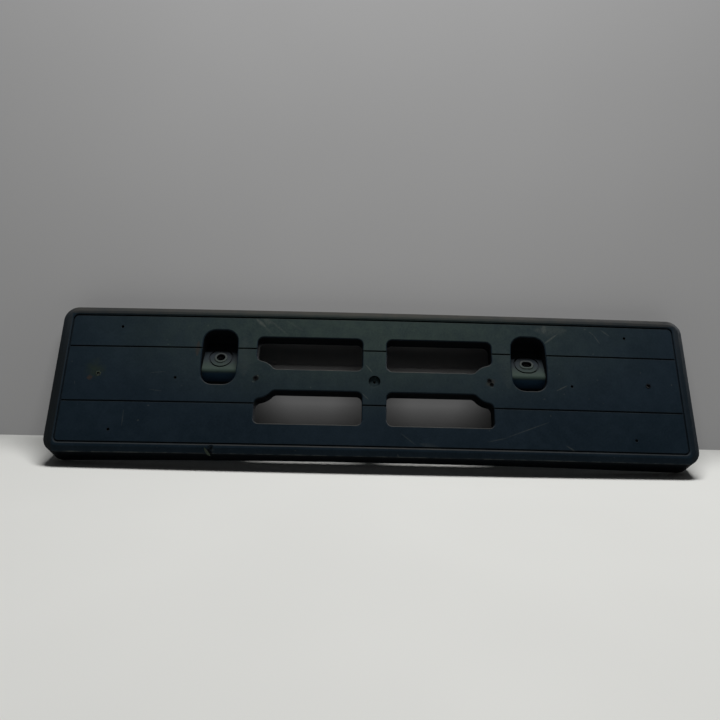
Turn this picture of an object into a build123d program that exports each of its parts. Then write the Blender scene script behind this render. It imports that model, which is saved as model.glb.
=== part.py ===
"""Front number plate holder: one moulded shell with a bowed plate seat, four windows and two screw pockets.

X runs to the right seen from the front, Z up, and the front faces -Y. The origin is the middle of the
plate seat. A depth is a distance behind that point, along +Y. Millimetres.
"""
import os
from math import atan2, cos, radians, sin, sqrt, tan

from build123d import *

# Plate seat: the sunk panel that the number plate lies on, bowed so that its ends are further back
SEAT_LENGTH = 522.0
SEAT_HEIGHT = 113.6
SEAT_CORNER = 4.5
SEAT_BOW = 3.5
SEAT_SUNK = 0.8
SEAT_WALL = 3.0

# Rim round the seat: a flat crest, eased on its inside and wider at the ends, then a bevel down to the skirt
RIM_CREST = 3.0
RIM_END_EXTRA = 1.2
RIM_BEVEL_WIDTH = 4.4
RIM_BEVEL_DROP = 3.0
CREST_EASE_WIDTH = 1.1
CREST_EASE_DROP = 0.6
BEVEL_EDGE_RADIUS = 1.0

# Skirt: the flared side wall, with a back edge arched to follow the bumper
SKIRT_FLARE = 5.0
SKIRT_WALL = 2.4
SKIRT_DEPTH_MIDDLE = 17.3
SKIRT_DEPTH_END = 28.4
CAVITY_CHAMFER = 3.0

# Grooves: one round the seat and two along it
GROOVE_WIDTH = 1.3
GROOVE_DEPTH = 1.0
GROOVE_HEIGHTS = (27.4, -21.2)

# Windows: two pairs, each notched round the drilled hole beside it
WINDOW_INNER = 10.2
WINDOW_OUTER = 100.1
WINDOW_LOW = 9.4
WINDOW_HIGH = 38.3
WINDOW_CORNER = 5.0
WINDOW_NOTCH_X = 99.2
WINDOW_NOTCH_RADIUS = 17.0
FLANGE_WALL = 2.0
FLANGE_DEPTH = 15.5

# Screw pockets: mouth outline, sloping screw seat, ridge and drip face below it
POCKET_X = 132.0
POCKET_Z = 19.6
POCKET_HEIGHT = 50.3
POCKET_WIDTH = 31.6
POCKET_END_WIDTH = 28.8
POCKET_CORNER = 11.0
POCKET_DRAFT = 4.0
POCKET_WALL = 2.4
POCKET_DEPTH = 16.0
POCKET_FLOOR_WALL = 3.2
SCREW_Z = 21.8
SCREW_DEPTH = 10.0
SCREW_SEAT_ANGLE = 21.0
RIDGE_Z = 9.0
RIDGE_RADIUS = 4.0
DRIP_ANGLE = 30.0
MOUTH_CHAMFER = 0.7

# Screw holes: round on the left, slotted along X on the right, each with a raised lip and a washer groove
SCREW_HOLE_RADIUS = 3.7
SCREW_SLOT_RADIUS = 3.0
SCREW_SLOT_TRAVEL = 2.8
SCREW_LIP_WIDTH = 2.1
SCREW_LIP_HEIGHT = 0.8
SCREW_LIP_DRAFT = 35.0
WASHER_MARGIN = 6.8
WASHER_GROOVE_WIDTH = 1.4
WASHER_GROOVE_DEPTH = 0.8

# Plate screw holes: moulded pilots with sleeves, and holes drilled by hand straight through the seat
CORNER_PILOT_X = 217.3
CORNER_PILOT_Z = 45.7
SIDE_PILOT_X = 167.4
PILOT_RADIUS = 1.2
SLEEVE_WALL = 2.4
SLEEVE_DEPTH = 11.0
DRILLED_PLACES = ((-232.2, 2.5), (-99.8, 0.6), (97.2, 3.0), (99.0, -0.2), (233.2, 2.4))
DRILLED_RADIUS = 1.5
CENTRE_BORE_RADIUS = 5.0
CENTRE_BORE_DEPTH = 2.6

# Ribs behind the seat
RIB_WALL = 1.8
RIB_DEPTH = 13.0
RIB_XS = (108.0, 156.0, 192.0, 246.0)

# Nick torn across the bevel of the lower rim
NICK_X = -133.5
NICK_LENGTH = 11.0
NICK_WIDTH = 3.6
NICK_THICKNESS = 2.6
NICK_ROLL = 60.0
NICK_TURN = 34.0

# Worked out from the sizes above
RIM_WIDTH = RIM_CREST + RIM_BEVEL_WIDTH
RIM_EDGE_DEPTH = RIM_BEVEL_DROP - SEAT_SUNK
BEVEL_ANGLE = atan2(RIM_BEVEL_DROP, RIM_BEVEL_WIDTH)
SEAT_RADIUS = ((SEAT_LENGTH / 2) ** 2 + SEAT_BOW**2) / (2 * SEAT_BOW)
SKIRT_ARCH = SKIRT_DEPTH_END - SKIRT_DEPTH_MIDDLE
HALF_LENGTH = SEAT_LENGTH / 2 + RIM_WIDTH + RIM_END_EXTRA
FRONT_LIMIT = -2 * RIM_BEVEL_DROP
BACK_LIMIT = 1.5 * SKIRT_DEPTH_END
REACH_X = 1.1 * HALF_LENGTH
REACH_Z = 1.2 * (SEAT_HEIGHT / 2 + RIM_WIDTH)
BACKWARD = (0, 1, 0)


def at_depth(depth):
    """Plane of the front view, `depth` behind the origin."""
    return Plane.XZ.offset(-depth)


def seat_depth(x, depth):
    """Depth at x of the surface that follows the seat, `depth` behind it."""
    return SEAT_RADIUS - sqrt((SEAT_RADIUS - depth) ** 2 - x**2)


def seat_arc(depth, towards=1):
    """Line of the surface `depth` behind the seat, in the plan view, drawn towards +X or -X."""
    end = seat_depth(REACH_X, depth)
    return ThreePointArc((-towards * REACH_X, end), (0, depth), (towards * REACH_X, end))


def bowed_layer(front, back):
    """Layer that follows the seat, from `front` to `back` behind it."""
    with BuildPart() as layer:
        with BuildSketch(Plane.XY):
            with BuildLine():
                near = seat_arc(front)
                far = seat_arc(back, towards=-1)
                Line(near @ 1, far @ 0)
                Line(far @ 1, near @ 0)
            make_face()
        extrude(amount=REACH_Z, both=True)
    return layer.part


def bumper_face():
    """Everything behind the arch of the skirt's back edge."""
    end = SKIRT_DEPTH_MIDDLE + SKIRT_ARCH * (REACH_X / HALF_LENGTH) ** 2
    with BuildPart() as bumper:
        with BuildSketch(Plane.XY):
            with BuildLine():
                arch = ThreePointArc((-REACH_X, end), (0, SKIRT_DEPTH_MIDDLE), (REACH_X, end))
                Polyline(arch @ 1, (REACH_X, 2 * BACK_LIMIT), (-REACH_X, 2 * BACK_LIMIT), arch @ 0)
            make_face()
        extrude(amount=REACH_Z, both=True)
    return bumper.part


def flared_form(inset):
    """Solid inside the skirt's outer face, drawn in by `inset`."""
    with BuildPart() as form:
        for depth in (FRONT_LIMIT, BACK_LIMIT):
            edge = RIM_WIDTH - inset + (depth - RIM_EDGE_DEPTH) * tan(radians(SKIRT_FLARE))
            with BuildSketch(at_depth(depth)):
                length = SEAT_LENGTH + 2 * (edge + RIM_END_EXTRA)
                RectangleRounded(length, SEAT_HEIGHT + 2 * edge, SEAT_CORNER + edge)
        loft(ruled=True)
    return form.part


def faces_like_bevel(face):
    """Whether a face leans between the front, which faces forward, and the skirt, which faces sideways."""
    forward = -face.normal_at().Y
    return cos(BEVEL_ANGLE) / 2 < forward < (1 + cos(BEVEL_ANGLE)) / 2


def over(sketch, depth):
    """Solid over a sketch of the front view, from before the rim back to `depth` behind the seat."""
    with BuildPart() as cutter:
        with BuildSketch(at_depth(FRONT_LIMIT)):
            add(sketch)
        extrude(amount=BACK_LIMIT, dir=BACKWARD)
        add(bowed_layer(depth, 2 * BACK_LIMIT), mode=Mode.SUBTRACT)
    return cutter.part


def seat_outline(inset=0.0):
    """Outline of the plate seat, drawn in by `inset`."""
    with BuildSketch() as outline:
        RectangleRounded(SEAT_LENGTH - 2 * inset, SEAT_HEIGHT - 2 * inset, SEAT_CORNER - inset)
    return outline.sketch


def grooves():
    """The groove round the seat and the two grooves along it."""
    with BuildSketch() as lines:
        add(seat_outline())
        add(seat_outline(GROOVE_WIDTH), mode=Mode.SUBTRACT)
        with Locations(*[(0, height) for height in GROOVE_HEIGHTS]):
            Rectangle(SEAT_LENGTH - GROOVE_WIDTH, GROOVE_WIDTH)
    return lines.sketch


def windows(margin=0.0):
    """The four windows, grown by `margin`."""
    middle = ((WINDOW_INNER + WINDOW_OUTER) / 2, (WINDOW_LOW + WINDOW_HIGH) / 2)
    with BuildSketch() as openings:
        with Locations(middle):
            Rectangle(WINDOW_OUTER - WINDOW_INNER, WINDOW_HIGH - WINDOW_LOW)
        with Locations((WINDOW_NOTCH_X, 0)):
            Circle(WINDOW_NOTCH_RADIUS, mode=Mode.SUBTRACT)
        fillet(openings.vertices(), WINDOW_CORNER)
        if margin:
            offset(amount=margin, mode=Mode.REPLACE)
        mirror(about=Plane.XZ)
        mirror(about=Plane.YZ)
    return openings.sketch


def pocket_mouth(margin=0.0):
    """Outline of a screw pocket's mouth, with slightly bowed sides, grown by `margin`."""
    top = POCKET_HEIGHT / 2
    corner = POCKET_END_WIDTH / 2
    with BuildSketch() as mouth:
        with BuildLine():
            right = ThreePointArc((corner, -top), (POCKET_WIDTH / 2, 0), (corner, top))
            left = mirror(right, about=Plane.YZ)
            Line(right @ 1, left @ 1)
            Line(left @ 0, right @ 0)
        make_face()
        fillet(mouth.vertices(), POCKET_CORNER)
        if margin:
            offset(amount=margin, mode=Mode.REPLACE)
    return mouth.sketch


def pocket_body(margin=0.0, behind=0.0):
    """The right pocket's hollow, grown sideways by `margin` and carried `behind` its floor."""
    slope = tan(radians(SCREW_SEAT_ANGLE))
    ridge_depth = SCREW_DEPTH - (SCREW_Z - RIDGE_Z) * slope + behind
    deep = POCKET_DEPTH + behind
    before = 2 * FRONT_LIMIT
    top_z = POCKET_Z + POCKET_HEIGHT
    brow_z = SCREW_Z + (POCKET_DEPTH - SCREW_DEPTH) / slope
    foot_z = POCKET_Z - POCKET_HEIGHT
    foot_depth = ridge_depth + (RIDGE_Z - foot_z) * tan(radians(DRIP_ANGLE))
    with BuildPart() as pocket:
        with BuildSketch(at_depth(FRONT_LIMIT)):
            with Locations((POCKET_X, POCKET_Z)):
                add(pocket_mouth(margin))
        extrude(amount=BACK_LIMIT, dir=BACKWARD, taper=POCKET_DRAFT)
        with BuildSketch(Plane.YZ):
            with BuildLine():
                floor = FilletPolyline(
                    (deep, top_z),
                    (deep, brow_z),
                    (ridge_depth, RIDGE_Z),
                    (foot_depth, foot_z),
                    radius=RIDGE_RADIUS,
                )
                Polyline(floor @ 1, (before, foot_z), (before, top_z), floor @ 0)
            make_face()
        extrude(amount=2 * POCKET_X, mode=Mode.INTERSECT)
    return pocket.part


def screw_plane(side):
    """Plane of the screw seat in the pocket on one side, 1 for right and -1 for left, facing out."""
    slope = radians(SCREW_SEAT_ANGLE)
    outward = (0, -cos(slope), sin(slope))
    return Plane(origin=(side * POCKET_X, SCREW_DEPTH, SCREW_Z), x_dir=(1, 0, 0), z_dir=outward)


def screw_hole(side, margin=0.0):
    """Screw hole in its seat's plane, grown by `margin`: a slot on the right, round on the left."""
    with BuildSketch() as hole:
        if side > 0:
            SlotCenterToCenter(SCREW_SLOT_TRAVEL, 2 * (SCREW_SLOT_RADIUS + margin))
        else:
            Circle(SCREW_HOLE_RADIUS + margin)
    return hole.sketch


def pilots(radius):
    """Circles at the moulded pilot holes for the plate's screws."""
    with BuildSketch() as circles:
        with GridLocations(2 * CORNER_PILOT_X, 2 * CORNER_PILOT_Z, 2, 2):
            Circle(radius)
        with GridLocations(2 * SIDE_PILOT_X, 0, 2, 1):
            Circle(radius)
    return circles.sketch


def drilled_holes():
    """Circles at the holes drilled through the seat for other plate screws."""
    with BuildSketch() as circles:
        with Locations(*DRILLED_PLACES):
            Circle(DRILLED_RADIUS)
    return circles.sketch


def cavity(inset, depth):
    """Hollow inside the skirt, drawn in by `inset`, from `depth` behind the seat, with a sloping edge."""
    with BuildPart() as hollow:
        add(flared_form(inset))
        add(bowed_layer(depth, 2 * BACK_LIMIT), mode=Mode.INTERSECT)
        chamfer(hollow.faces().sort_by(Axis.Y)[0].edges(), CAVITY_CHAMFER)
    return hollow.part


def ribs():
    """Lines of the upright ribs behind the seat."""
    with BuildSketch() as lines:
        for x in RIB_XS:
            with GridLocations(2 * x, 0, 2, 1):
                Rectangle(RIB_WALL, 2 * REACH_Z)
    return lines.sketch


def sleeves():
    """Outlines of the sleeves round the pilot holes and the centre bore."""
    with BuildSketch() as circles:
        add(pilots(PILOT_RADIUS + SLEEVE_WALL))
        Circle(CENTRE_BORE_RADIUS + SLEEVE_WALL)
    return circles.sketch


def back_detail():
    """Ribs, sleeves and window flanges, standing on the back of the seat and running into the skirt."""
    walls = ((ribs(), RIB_DEPTH), (sleeves(), SLEEVE_DEPTH), (windows(FLANGE_WALL), FLANGE_DEPTH))
    with BuildPart() as detail:
        for sketch, depth in walls:
            with BuildSketch(at_depth(0)):
                add(sketch)
            extrude(amount=depth, dir=BACKWARD)
        add(cavity(SKIRT_WALL / 2, SEAT_WALL / 2), mode=Mode.INTERSECT)
    return detail.part


def nick():
    """Oval bar, lying askew in the bevel of the lower rim."""
    depth = seat_depth(NICK_X, RIM_EDGE_DEPTH - RIM_BEVEL_DROP / 2)
    height = -SEAT_HEIGHT / 2 - RIM_CREST - RIM_BEVEL_WIDTH / 2
    outward = (0, -cos(BEVEL_ANGLE), -sin(BEVEL_ANGLE))
    bevel = Plane(origin=(NICK_X, depth, height), x_dir=(1, 0, 0), z_dir=outward)
    askew = bevel.rotated((0, 0, NICK_TURN))
    with BuildPart() as bar:
        with BuildSketch(Plane(origin=askew.origin, x_dir=askew.z_dir, z_dir=askew.y_dir)):
            Ellipse(NICK_WIDTH / 2, NICK_THICKNESS / 2, rotation=NICK_ROLL)
        extrude(amount=NICK_LENGTH / 2, both=True)
    return bar.part


with BuildPart() as plate_holder:
    # Outer form with its rim
    add(flared_form(0))
    add(bowed_layer(-SEAT_SUNK, 2 * BACK_LIMIT), mode=Mode.INTERSECT)
    add(bumper_face(), mode=Mode.SUBTRACT)
    front = plate_holder.faces().sort_by(Axis.Y)[0]
    chamfer(front.edges(), length=RIM_BEVEL_WIDTH, length2=RIM_BEVEL_DROP, reference=front)
    bevel = plate_holder.faces().filter_by(faces_like_bevel)
    fillet(bevel.edges().filter_by(lambda edge: edge.length > RIM_WIDTH), BEVEL_EDGE_RADIUS)

    # Hollow back and what stands in it, then the pockets: first their cups, then the hollows in them
    add(cavity(SKIRT_WALL, SEAT_WALL), mode=Mode.SUBTRACT)
    add(back_detail())
    for margin, behind, mode in ((POCKET_WALL, POCKET_FLOOR_WALL, Mode.ADD), (0, 0, Mode.SUBTRACT)):
        pocket = pocket_body(margin, behind)
        add(pocket, mode=mode)
        add(mirror(pocket, about=Plane.YZ, mode=Mode.PRIVATE), mode=mode)

    # Front: sunk seat, windows, chamfered mouths of windows and pockets, grooves and the nick
    add(over(seat_outline(), 0), mode=Mode.SUBTRACT)
    crest = plate_holder.faces().sort_by(Axis.Y)[0]
    inside = crest.inner_wires()[0].edges()
    chamfer(inside, length=CREST_EASE_WIDTH, length2=CREST_EASE_DROP, reference=crest)
    with BuildSketch(at_depth(FRONT_LIMIT)):
        add(windows())
    extrude(amount=2 * BACK_LIMIT, dir=BACKWARD, mode=Mode.SUBTRACT)
    seat = plate_holder.faces().filter_by(GeomType.CYLINDER).sort_by(SortBy.AREA)[-1]
    chamfer([edge for mouth in seat.inner_wires() for edge in mouth.edges()], MOUTH_CHAMFER)
    add(over(grooves(), GROOVE_DEPTH), mode=Mode.SUBTRACT)
    add(nick(), mode=Mode.SUBTRACT)

    # Screw holes in the pockets, each with its lip and washer groove
    for side in (-1, 1):
        with BuildSketch(screw_plane(side)):
            add(screw_hole(side, WASHER_MARGIN))
            add(screw_hole(side, WASHER_MARGIN - WASHER_GROOVE_WIDTH), mode=Mode.SUBTRACT)
        extrude(amount=-WASHER_GROOVE_DEPTH, mode=Mode.SUBTRACT)
        with BuildSketch(screw_plane(side)):
            add(screw_hole(side, SCREW_LIP_WIDTH))
        extrude(amount=SCREW_LIP_HEIGHT, taper=SCREW_LIP_DRAFT)
        with BuildSketch(screw_plane(side)):
            add(screw_hole(side))
        extrude(amount=POCKET_DEPTH / 2, both=True, mode=Mode.SUBTRACT)

    # Plate screw holes
    with BuildSketch(at_depth(FRONT_LIMIT)):
        add(pilots(PILOT_RADIUS))
        add(drilled_holes())
        Circle(PILOT_RADIUS)
    extrude(amount=2 * BACK_LIMIT, dir=BACKWARD, mode=Mode.SUBTRACT)
    with BuildSketch(at_depth(CENTRE_BORE_DEPTH)):
        Circle(CENTRE_BORE_RADIUS)
    extrude(amount=2 * CENTRE_BORE_DEPTH, mode=Mode.SUBTRACT)

plate_holder.part.label = "plate_holder"

os.makedirs("parts", exist_ok=True)
export_step(plate_holder.part, "parts/plate_holder.step")
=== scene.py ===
"""Looks of a moulded number plate holder: its worn finish, its torn edges and a plain studio round it.

Metres, in the part's own frame: X to the right seen from the front, Z up, the front towards -Y. The holder
leans back in the studio, so the studio's floor and wall are turned instead and the part stays upright.
Places and sizes in the finish of the plastic are in millimetres of the same frame.
"""
from functools import reduce
from math import atan2, cos, radians, sin, sqrt, tau

import bmesh
import bpy
from bpy.props import FloatProperty, FloatVectorProperty, PointerProperty
from mathutils import Matrix, Vector, noise


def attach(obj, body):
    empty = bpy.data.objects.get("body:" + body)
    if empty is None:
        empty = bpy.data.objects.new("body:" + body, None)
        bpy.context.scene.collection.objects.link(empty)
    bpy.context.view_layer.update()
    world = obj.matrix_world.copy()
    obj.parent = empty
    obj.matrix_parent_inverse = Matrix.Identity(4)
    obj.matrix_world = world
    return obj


bl_info = {
    "name": "Number plate holder",
    "version": (1, 0, 0),
    "blender": (4, 5, 0),
    "location": "View3D > Sidebar > Plate holder",
    "description": "Gives a moulded number plate holder its worn finish and a plain studio",
    "category": "Object",
}

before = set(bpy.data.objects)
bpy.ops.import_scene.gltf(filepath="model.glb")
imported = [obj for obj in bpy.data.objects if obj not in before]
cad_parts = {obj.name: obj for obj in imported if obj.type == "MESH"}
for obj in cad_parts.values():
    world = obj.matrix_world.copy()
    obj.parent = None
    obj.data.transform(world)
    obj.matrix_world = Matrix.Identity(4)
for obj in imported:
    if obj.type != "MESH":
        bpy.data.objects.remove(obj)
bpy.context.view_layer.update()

MM = 0.001
BODY = "root"
NODE = "plate_holder"

# The seat's bow and the lower rim's bevel, as the moulding has them
SEAT_LENGTH = 522 * MM
SEAT_HEIGHT = 113.6 * MM
SEAT_BOW = 3.5 * MM
SEAT_RADIUS = ((SEAT_LENGTH / 2) ** 2 + SEAT_BOW**2) / (2 * SEAT_BOW)
RIM_CREST = 3.0 * MM
BEVEL_WIDTH = 4.4 * MM
BEVEL_DROP = 3.0 * MM
BEVEL_MIDDLE_DEPTH = 0.7 * MM
BEVEL_ANGLE = atan2(BEVEL_DROP, BEVEL_WIDTH)
# Points of the moulding's facets within this reach of each other are joined
JOIN_REACH = 0.001 * MM

# Holes drilled by hand: place across the seat, share of the tallest lip's height, and seed
DRILLED_RADIUS = 1.5 * MM
TORN_HOLES = (
    (-232.2 * MM, 2.5 * MM, 1.0, 11),
    (-99.8 * MM, 0.6 * MM, 0.2, 23),
    (97.2 * MM, 3.0 * MM, 0.2, 37),
    (99.0 * MM, -0.2 * MM, 0.25, 41),
    (233.2 * MM, 2.4 * MM, 0.5, 59),
)
LIP_STEPS = 40
# A lip above this share of the tallest one's height tore pale
PALE_LIP = 0.6
# Unevenness round a lip: how much it changes by, and how fast round the hole
LIP_WAVES = (0.9, 1.6)
LIP_TEETH = (0.5, 5.0)
LIP_FRAY = (0.2, 2.2)
LIP_SWAY = (0.12, 4.0)
# A lip's usual and least rise as shares of its height, and its lean into the hole as a share of the radius
LIP_RISE = 0.5
LIP_LEAST_RISE = 0.08
LIP_INWARD = 0.14
# Least width of a lip as a share of the tallest one's
LIP_NARROW = 0.3
# A lip's section: its peak as a share across it, and its outer shoulder as a share from the peak to the foot
LIP_PEAK = 0.25
LIP_SHOULDER = 0.55
# Heights of its inner corner and of its shoulder, as shares of its rise
LIP_CORNER_RISE = 0.45
LIP_SHOULDER_RISE = 0.42
# Depths of its foot and of its root, as shares of how far the root reaches into the plastic
LIP_FOOT_DEPTH = 0.3
LIP_ROOT_DEPTH = 2.0

# The nick across the lower rim's bevel, and the burr along its left edge
NICK_X = -133.5 * MM
NICK_LENGTH = 11.0 * MM
NICK_TURN = radians(34)
NICK_EDGE = 1.6 * MM
BURR_STEPS = 28
# The burr's section from its left foot: shares of its width sideways, and of its rise outwards
BURR_SECTION = ((-1.0, -0.3), (-0.45, 0.55), (0.0, 1.0), (0.3, 0.4), (0.2, -0.5))
# The burr's size at its ends as a share of that in its middle, and its usual rise, unevenness, pace and seed
BURR_END = 0.15
BURR_RISE = 0.75
BURR_UNEVEN = 0.7
BURR_WAVES = 9.0
BURR_SEED = (3.1, 0.7)

# Raised lips round the screw holes, in millimetres: middle, half the slot's travel, middle of the lip
SCREW_LIPS = (((-132.0, 10.0, 21.8), 0.0, 4.7), ((132.0, 10.0, 21.8), 1.4, 4.0))
SCREW_SLOPE = radians(21)

# The pockets and windows in the front view of one side, in millimetres: middle and half the size
POCKET_BOX = ((132.0, 19.6), (16.6, 26.0))
WINDOW_BOX = ((55.2, 23.9), (49.0, 18.0))
# How far the edge of such a box is blurred each way
BOX_BLUR = 0.2

# Scratches and scuffs on the seat, in millimetres: two ends across the seat, width and strength
SCRATCHES = (
    (-102.8, 55.0, -94.5, 47.8, 2.4, 0.58),
    (-97.0, 50.0, -87.5, 40.4, 1.6, 0.16),
    (-96.0, 54.8, -89.0, 51.5, 5.0, 0.3),
    (-90.8, 54.1, -75.2, 41.0, 1.4, 0.22),
    (-76.3, 53.8, -61.8, 45.0, 2.0, 0.14),
    (146.9, 38.7, 158.6, 47.8, 1.4, 0.48),
    (147.6, 55.8, 146.8, 48.5, 4.5, 0.5),
    (140.0, 51.0, 166.0, 51.5, 9.0, 0.19),
    (186.5, 51.2, 190.6, 48.1, 0.8, 0.3),
    (190.6, 48.1, 195.4, 39.8, 0.8, 0.25),
    (197.5, 52.9, 204.3, 47.6, 1.0, 0.3),
    (154.0, -4.2, 163.3, 0.6, 0.8, 0.45),
    (109.7, -45.8, 145.0, -32.1, 0.6, 0.28),
    (-7.8, 15.1, -1.8, 8.0, 0.7, 0.5),
    (-10.0, -10.9, -4.9, -16.0, 0.7, 0.4),
    (-206.8, -28.8, -206.6, -42.4, 0.8, 0.2),
    (-188.5, 4.0, -176.0, 5.2, 0.5, 0.25),
    (-131.6, -61.4, -129.2, -61.9, 1.6, 0.3),
    (-98.8, 3.1, -97.4, 2.5, 0.9, 0.4),
    (-102.8, -2.2, -100.8, -2.8, 0.9, 0.4),
    (97.6, -3.0, 100.6, -2.6, 0.9, 0.3),
    (-111.0, 36.0, -110.0, 4.0, 11.0, 0.11),
    (110.0, 34.0, 113.0, -2.0, 11.0, 0.08),
    (-188.0, -10.8, -177.0, -12.2, 0.6, 0.25),
    (93.0, -50.2, 110.0, -46.2, 0.6, 0.2),
    (158.0, -51.5, 167.0, -57.5, 0.9, 0.36),
    (22.0, -44.5, 34.0, -54.0, 0.8, 0.2),
    (38.0, -53.0, 55.0, -57.0, 3.5, 0.12),
)
# Rust that ran on the seat, in millimetres: two ends across the seat, width and strength
RUST = (
    (-150.6, 33.0, -151.0, 20.0, 3.0, 0.35),
    (-241.0, -1.6, -237.0, -0.6, 3.5, 0.5),
    (97.0, 3.8, 99.6, -1.2, 7.0, 0.3),
    (-101.4, 1.6, -98.2, 0.2, 5.0, 0.2),
)
# Dark branches of the nick, in millimetres: two ends across the front and width
GOUGES = (
    (-130.2, -58.8, -133.6, -60.7, 1.8),
    (-134.6, -61.0, -133.2, -61.8, 1.7),
    (-133.4, -61.8, -130.9, -64.6, 1.8),
)
# How fast a stroke narrows from its middle to its ends
STROKE_TAPER = 3.0
# Dirt round some drilled holes, in millimetres: place across the seat and reach
STAINS = ((-235.5, 6.5, 15.0), (-99.8, 0.6, 5.0), (98.0, 1.4, 6.0))
# Darker spots round the drilled holes, in millimetres: place across the seat and radius
HOLE_DARK_SPOTS = ((-99.8, 0.6, 2.8), (97.2, 3.0, 2.6), (99.0, -0.2, 2.1), (233.2, 2.4, 2.7))
# Fray of such spots: size in millimetres and detail of its noise, and its reach as a share of the spot's
STAIN_FRAY = (4.0, 3.0, 0.9)
DARK_SPOT_FRAY = (1.2, 2.0, 0.5)
# Where such spots start to fade and end, as shares of their reach
STAIN_EDGE = (0.3, 1.25)
DARK_SPOT_EDGE = (0.85, 1.3)

# Mottling: size of its features in millimetres, detail, roughness, and the noise that it fades between
CLOUDS = (60.0, 3.0, 0.5, (0.3, 0.7))
BLOTCHES = (9.0, 4.0, 0.6, (0.35, 0.75))
PATCHES = (14.0, 5.0, 0.65, (0.25, 0.7))
MOTTLES = (1.6, 2.0, 0.5, (0.3, 0.7))
SCUFF_BREAKS = (1.4, 3.0, 0.5, (0.3, 0.62))
SPECKS = (2.6, 0.0, 0.5, (0.83, 0.87))
TORN_PATCHES = (0.9, 4.0, 0.7, (0.35, 0.65))
# Sizes of the rim's coarser grain and of torn fibres, in millimetres
RIM_GRAIN = 1.1
TORN_FIBRE = 0.3

# Between which values the masks of the finish come or go: heights, depths and distances in millimetres
FRONT_DEPTH = (4.6, 5.2)
# Painted light: the bare plastic is painted lighter towards the top
PAINTED_LIGHT_HEIGHT = (-62.0, 25.0)
RIM_START = (0.4, 1.4)
# Painted light: the weathered rim is painted lighter higher up
SIDE_WEATHER_LIGHT_HEIGHT = (-62.0, 10.0)
END_WEATHER_LIGHT_HEIGHT = (0.0, 64.0)
# Painted shade on the rim's ends
END_SHADE_HEIGHT = (10.0, 64.0)
END_SHADE_SIDES = (-1.0, 1.0)
# Dust and painted light on faces turned up
DUST_LIGHT_ASIDE = (40.0, 220.0)
LIP_RING = (0.7, 1.5)
LIP_NEAR = (1.5, 2.5)
# Painted reflection of the floor along the lower rim's brink
BRINK_WIDTH = (0.2, 0.8)
BELOW_MIDDLE = (0.0, 1.0)
POCKET_DEPTH = (2.0, 2.6)
LEDGE_HEIGHT = (5.5, 8.5)
# Painted light on the lit ledge in each pocket
LEDGE_LIGHT_DEPTH = (5.6, 10.5)
# Painted shade deep in the pockets
SUNK_DEPTH = (9.7, 10.5)
BORE_RADIUS = (4.0, 5.2)
# The same for how squarely a face looks a way, how sharply an edge turns and how much air a crevice gets
FRONT_FACING = (0.75, 0.92)
DUST_LIGHT_FACING = (0.45, 0.95)
# Painted shade on faces turned down and on the walls of pockets and windows
UNDER_FACING = (0.05, 0.6)
WALL_FACING = (0.3, 0.6)
# Edges are rubbed lighter, with a painted highlight
EDGE_TURN = (0.02, 0.2)
# Painted shade in crevices
CREVICE_AIR = (0.25, 0.7)
# The ways that faces with dust and painted light, and faces with painted shade, look
DUST_LIGHT_WAY = (0.0, -0.35, 0.94)
UNDER_WAY = (0.0, 0.52, -0.85)
# The dry film's and its painted sheen's middle and reach on the seat, in millimetres
FILM_SHEEN_MIDDLE = (-4.76, 0.0, 55.2)
FILM_SHEEN_REACH = (297.6, 1.0, 100.0)
# How much deeper a pocket's sunk part, which gets painted shade, starts at the height of its ledge, in
# millimetres
LEDGE_STEP = 2.2

# Shares of the patterns in the shade of the bare plastic, and what is taken off
CLOUD_SHADE = 0.3
BLOTCH_SHADE = 0.28
MOTTLE_SHADE = 0.24
# Share of the painted light that lightens the bare plastic towards the top
PAINTED_HEIGHT_SHADE = 0.45
SHADE_LESS = 0.13
# How much each layer hides: as one share, or as two, from off to on the pattern that breaks it up
FILM_SHEEN_EVEN = 0.5
FILM_SHEEN_PATCHY = 0.5
FILM_SHEEN_MOTTLED = 0.22
WEATHER_COVER = (0.55, 1.0)
END_WEATHER_COVER = 0.6
END_SHADE_COVER = (0.8, 0.35)
DUST_LIGHT_COVER = (0.6, 1.0)
DUST_LIGHT_SPREAD = (1.5, 0.7)
STAIN_COVER = 0.6
SCUFF_COVER = (0.45, 1.0)
SPECK_COVER = 0.3
EDGE_COVER = (0.45, 1.0)
# Painted reflection along the lower rim's brink
BRINK_COVER = 0.6
LEDGE_LIGHT_COVER = 0.62
# Painted light on the faces low in the pockets
POCKET_LIGHT_COVER = 0.6
# Painted shade is weaker by the centre bore
BORE_SHADE = (1.0, 0.5)
# Roughness of the bare plastic, and what each layer adds to it
BARE_ROUGHNESS = 0.52
BLOTCH_ROUGHNESS = 0.08
DUST_ROUGHNESS = 0.2
WEATHER_ROUGHNESS = 0.12
SCUFF_ROUGHNESS = -0.1
GRAIN_ROUGHNESS = 0.05
WALL_ROUGHNESS = 0.4
TORN_ROUGHNESS = (0.55, 0.75)
# Height of the relief as shares of the mould's grain
BLOTCH_RELIEF = 0.35
RIM_RELIEF = 1.2
TORN_RELIEF = 2.0
# How many rays look for an edge or a crevice
EDGE_SAMPLES = 6
CREVICE_SAMPLES = 8

# Rays that show the background
SEEN_RAYS = ("Is Camera Ray", "Is Glossy Ray", "Is Transmission Ray")
# The studio's paper: where it has faded and where it ends, as shares of its reach
PAPER_FADE = 1.6
PAPER_END = 2.0
# Its mottling as above, but with the size in metres
PAPER_TONE = (0.2, 2.0, 0.5, (0.2, 0.8))
# Brightness of its darker mottles, and of the floor and wall under their painted shade, as shares
PAPER_SHADE = 0.96
FLOOR_DIM = 0.55
WALL_DIM = 0.03
PAPER_ROUGHNESS = 0.7
PAPER_GLOSS = 0.25
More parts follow.
